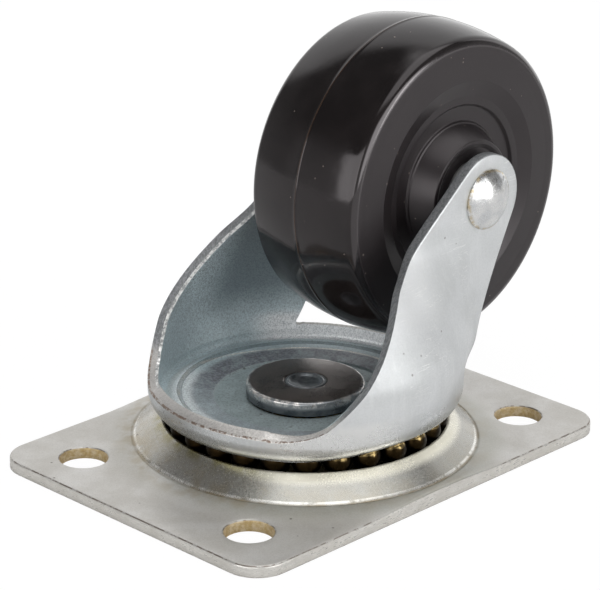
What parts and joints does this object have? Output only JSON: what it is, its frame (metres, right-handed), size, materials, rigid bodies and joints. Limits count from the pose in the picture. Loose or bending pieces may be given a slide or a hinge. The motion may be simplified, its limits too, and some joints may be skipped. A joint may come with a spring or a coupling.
{
  "type": "swivel plate caster",
  "caption": "Light-duty swivel plate caster with a hard rubber wheel, double ball raceway and pressed steel fork, for a gate or cart.",
  "frame": {"origin": "where the swivel axis meets the plate's mounting face", "axes": "+Z along the swivel axis from the mounting face towards the wheel, +X along the plate's length towards the trailing wheel, +Y along the axle. The caster stands on its plate with the wheel up; in use it is turned over, so -Z is up."},
  "size_m": [0.1051, 0.0694, 0.0793],
  "materials": {
    "plate_zinc": "satin zinc plate with a warm grey mottle",
    "fork_zinc": "matte bluish zinc plate",
    "dark_washer": "dark oiled steel with a bright worn edge",
    "pin_steel": "peened steel",
    "greased_balls": "polished steel under golden grease",
    "rivet_zinc": "bright zinc plate",
    "plain_steel": "plain turned steel",
    "hard_rubber": "glossy moulded"
  },
  "bodies": {
    "base": {"top_plate": "plate_zinc", "kingpin": "pin_steel", "race_washer": "dark_washer"},
    "swivel_fork": {"fork": "fork_zinc", "axle_rivet": "rivet_zinc", "axle_sleeve": "plain_steel", "thrust_washer_left": "plain_steel", "thrust_washer_right": "plain_steel"},
    "road_wheel": {"wheel": "hard_rubber", "hub_bushing": "plain_steel"},
    "upper_ball_row": {"upper_balls": "greased_balls"},
    "lower_ball_row": {"lower_balls": "greased_balls"}
  },
  "joints": [
    {"name": "swivel", "type": "hinge", "parent": "base", "child": "swivel_fork", "pos_m": [0, 0, 0], "axis": [0, 0, 1], "continuous": true},
    {"name": "wheel_spin", "type": "hinge", "parent": "swivel_fork", "child": "road_wheel", "pos_m": [0.02705, 0, 0.04865], "axis": [0, 1, 0], "continuous": true},
    {"name": "upper_ball_orbit", "type": "hinge", "parent": "base", "child": "upper_ball_row", "pos_m": [0, 0, 0], "axis": [0, 0, 1], "continuous": true},
    {"name": "lower_ball_orbit", "type": "hinge", "parent": "base", "child": "lower_ball_row", "pos_m": [0, 0, 0], "axis": [0, 0, 1], "continuous": true}
  ],
  "couplings": [
    {"joint": "upper_ball_orbit", "follows": "swivel", "ratio": 0.5},
    {"joint": "lower_ball_orbit", "follows": "swivel", "ratio": 0.5}
  ]
}
